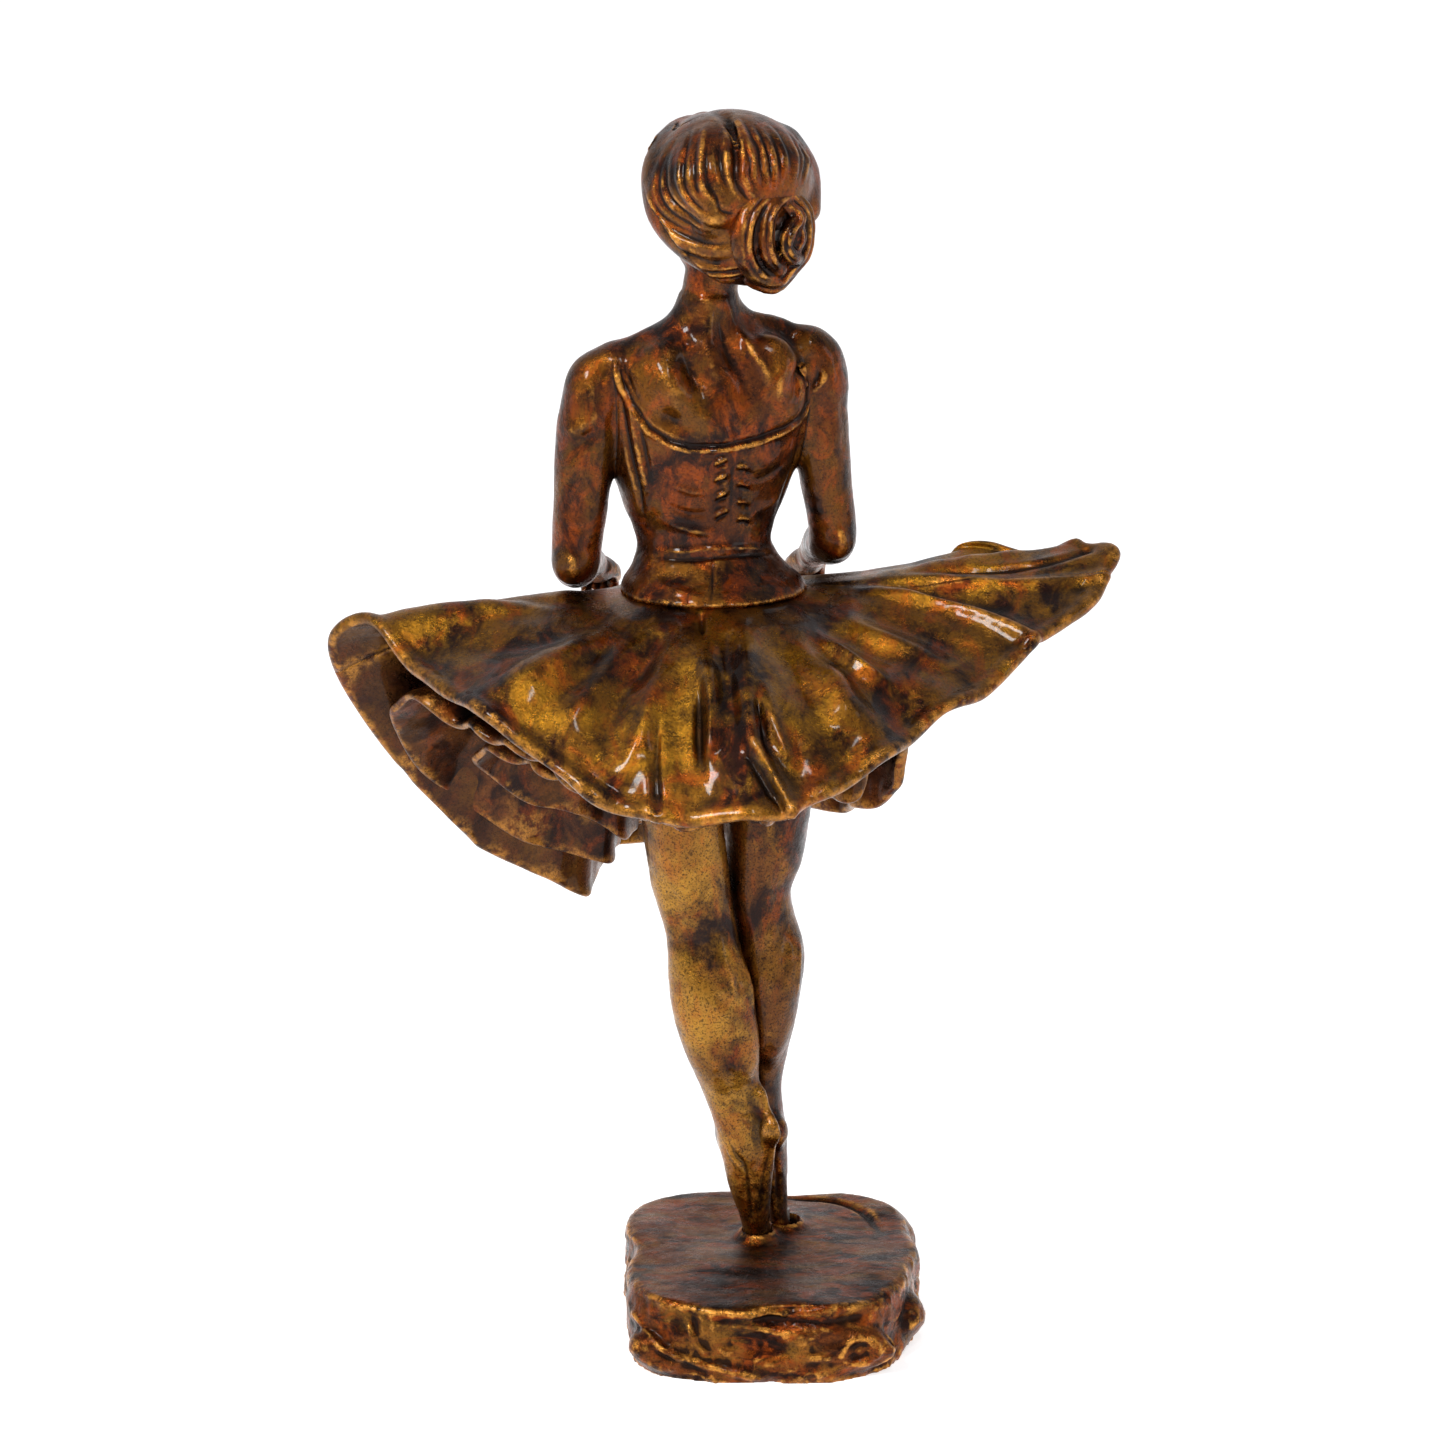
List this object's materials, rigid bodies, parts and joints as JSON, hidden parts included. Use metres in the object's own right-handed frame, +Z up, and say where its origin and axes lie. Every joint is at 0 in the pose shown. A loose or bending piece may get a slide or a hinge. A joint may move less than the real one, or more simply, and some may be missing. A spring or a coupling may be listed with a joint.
{
  "type": "bronze statuette",
  "caption": "Standing ballet dancer figure in cast bronze with a wide spread skirt, on a rough rock base.",
  "frame": {"origin": "middle of the flat underside of the rock base", "axes": "+Z up, from the base to the crown; the dancer faces +Y and its back is towards -Y; +X is its right hand side"},
  "size_m": [0.1549, 0.1066, 0.25],
  "materials": {
    "figure_bronze": "chocolate patina with golden wear, waxed",
    "hair_bronze": "dark brown patina, waxed",
    "leg_bronze": "golden brown patina with fine dark speckle, waxed",
    "skirt_bronze": "olive gold and rust patina, waxed",
    "lining_bronze": "dark umber patina, waxed",
    "rock_bronze": "red brown patina with golden worn edges",
    "raw_bronze": "unpolished cast bronze, hidden inside",
    "steel": "plain steel"
  },
  "bodies": {
    "root": {"base_casting": "rock_bronze", "figure_stud": "steel", "stud_washer": "steel", "stud_nut": "steel", "toe_dowel": "steel", "left_leg": "leg_bronze", "right_leg": "leg_bronze", "hip_casting": "raw_bronze", "hip_pins": "steel", "waist_screw": "steel", "petticoat_inner": "lining_bronze", "petticoat_outer": "lining_bronze", "skirt_back": "skirt_bronze", "skirt_front": "skirt_bronze", "torso": "figure_bronze", "shoulder_pins": "steel", "left_arm": "figure_bronze", "right_arm": "figure_bronze", "neck_pin": "steel", "head": "hair_bronze", "bun_pin": "steel", "hair_bun": "hair_bronze"}
  },
  "joints": []
}
